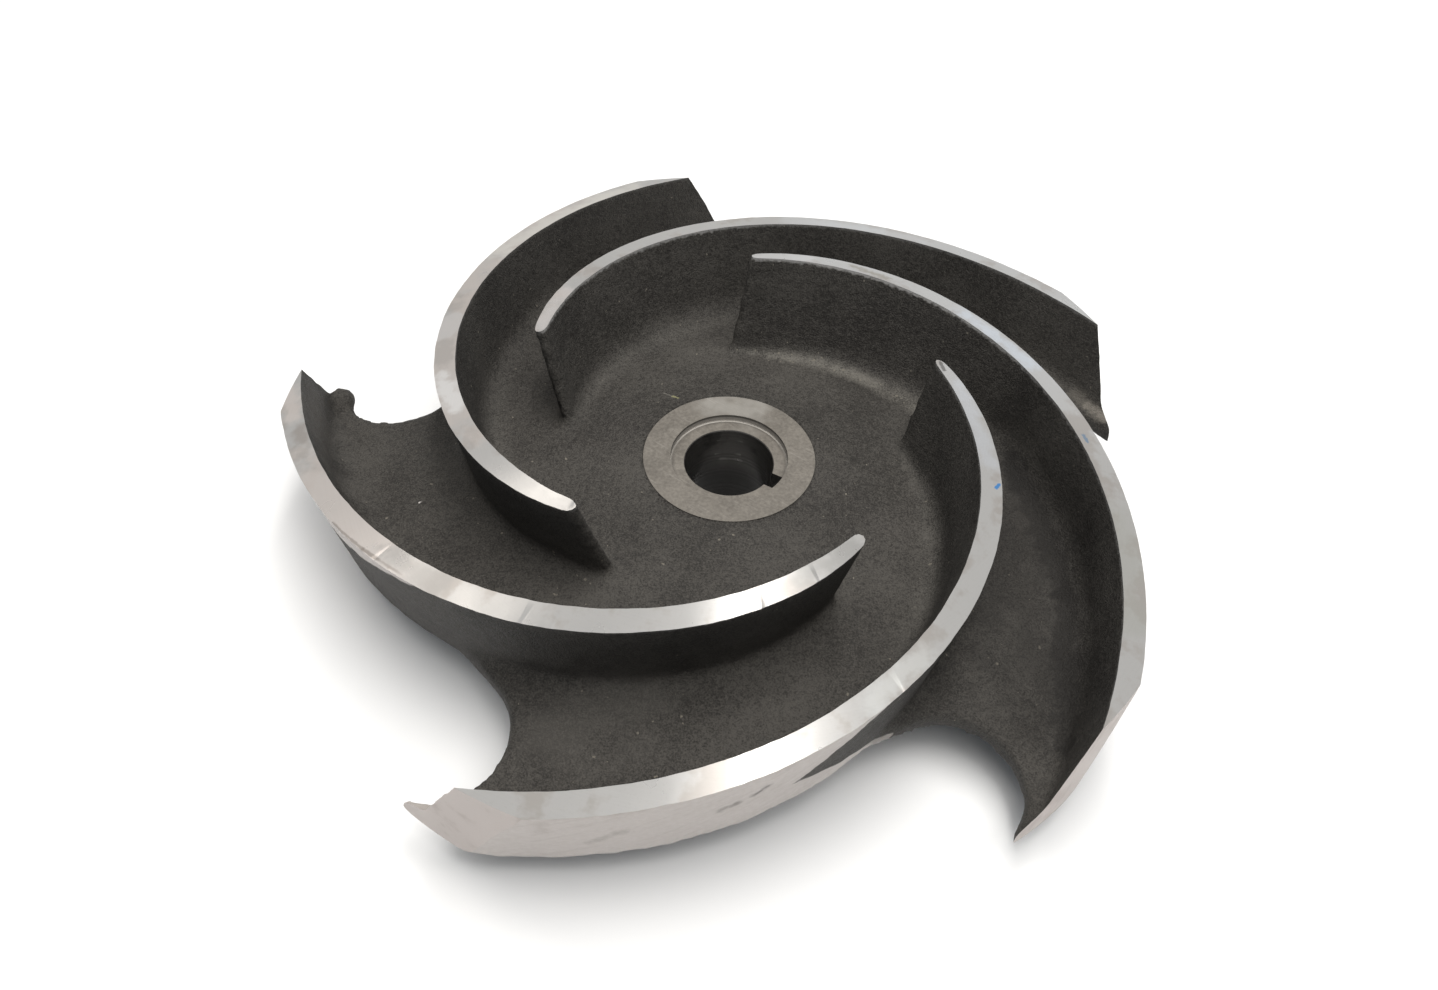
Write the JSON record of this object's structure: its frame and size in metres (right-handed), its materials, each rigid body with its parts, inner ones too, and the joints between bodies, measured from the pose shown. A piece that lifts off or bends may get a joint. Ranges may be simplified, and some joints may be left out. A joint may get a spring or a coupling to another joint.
{
  "type": "pump impeller",
  "caption": "Semi-open centrifugal pump impeller: swept vanes on a scalloped back shroud, with a keyed bore and turned hub.",
  "frame": {"origin": "on the bore axis, at the rear face of the hub, where the casting rests", "axes": "+Z along the bore axis towards the suction side, where the vanes stand open; +X to the right of the picture's view"},
  "size_m": [0.3102, 0.3092, 0.0773],
  "materials": {
    "cast_iron": "dark cast skin, with turned and ground faces on the vane tips, rim and hub"
  },
  "bodies": {
    "root": {"impeller": "cast_iron"}
  },
  "joints": []
}
